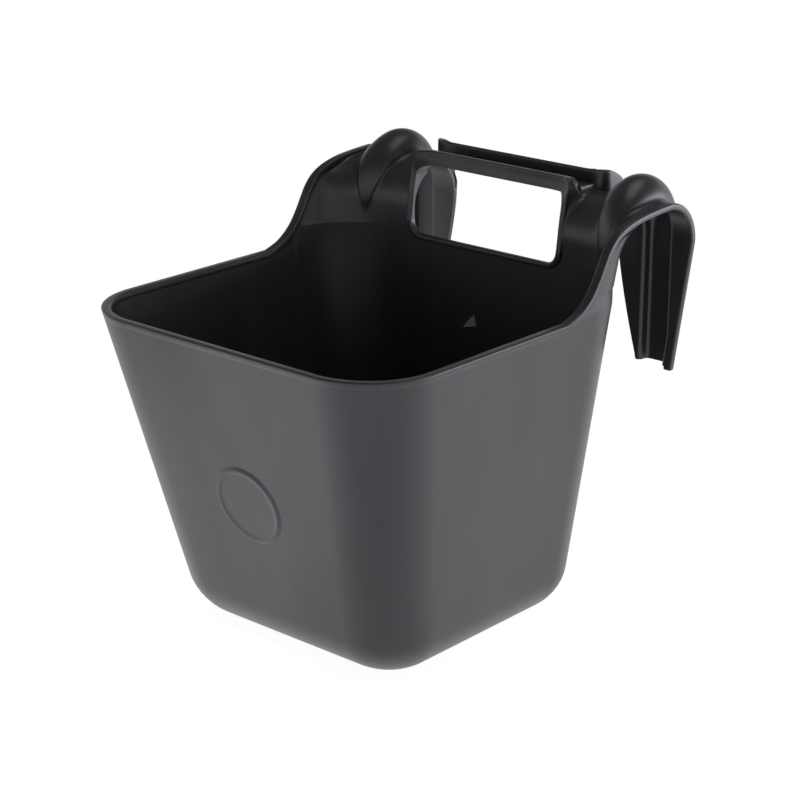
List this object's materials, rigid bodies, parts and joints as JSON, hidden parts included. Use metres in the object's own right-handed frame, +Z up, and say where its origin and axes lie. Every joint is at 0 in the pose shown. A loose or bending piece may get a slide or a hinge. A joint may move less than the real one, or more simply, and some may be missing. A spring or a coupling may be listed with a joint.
{
  "type": "feed trough",
  "caption": "Hook-over plastic feed trough: tapered tub with a banded rim, a carrying grip and ribbed hooks for a door or rail.",
  "frame": {"origin": "centre of the bounding box in plan, on the flat underside of the tub", "axes": "+Z up, -Y towards the trough's front wall, +Y towards the hooks, +X to the right as seen from the front"},
  "size_m": [0.285, 0.3449, 0.3133],
  "materials": {
    "black_plastic": "satin, self-coloured black polyethylene"
  },
  "bodies": {
    "root": {"floor_pan": "black_plastic", "front_wall": "black_plastic", "back_wall": "black_plastic", "front_rim": "black_plastic", "window_sill": "black_plastic", "grip_bar": "black_plastic", "grip_web": "black_plastic", "rear_lip": "black_plastic", "front_boss": "black_plastic", "right_side_wall": "black_plastic", "left_side_wall": "black_plastic", "right_front_corner": "black_plastic", "left_front_corner": "black_plastic", "right_back_corner": "black_plastic", "left_back_corner": "black_plastic", "right_rim_corner": "black_plastic", "left_rim_corner": "black_plastic", "right_side_rim": "black_plastic", "left_side_rim": "black_plastic", "right_inner_arch": "black_plastic", "left_inner_arch": "black_plastic", "right_outer_arch": "black_plastic", "left_outer_arch": "black_plastic", "right_rib": "black_plastic", "left_rib": "black_plastic", "right_leg": "black_plastic", "left_leg": "black_plastic", "right_edge_band": "black_plastic", "left_edge_band": "black_plastic", "right_window_jamb": "black_plastic", "left_window_jamb": "black_plastic", "right_lip_return": "black_plastic", "left_lip_return": "black_plastic"}
  },
  "joints": []
}
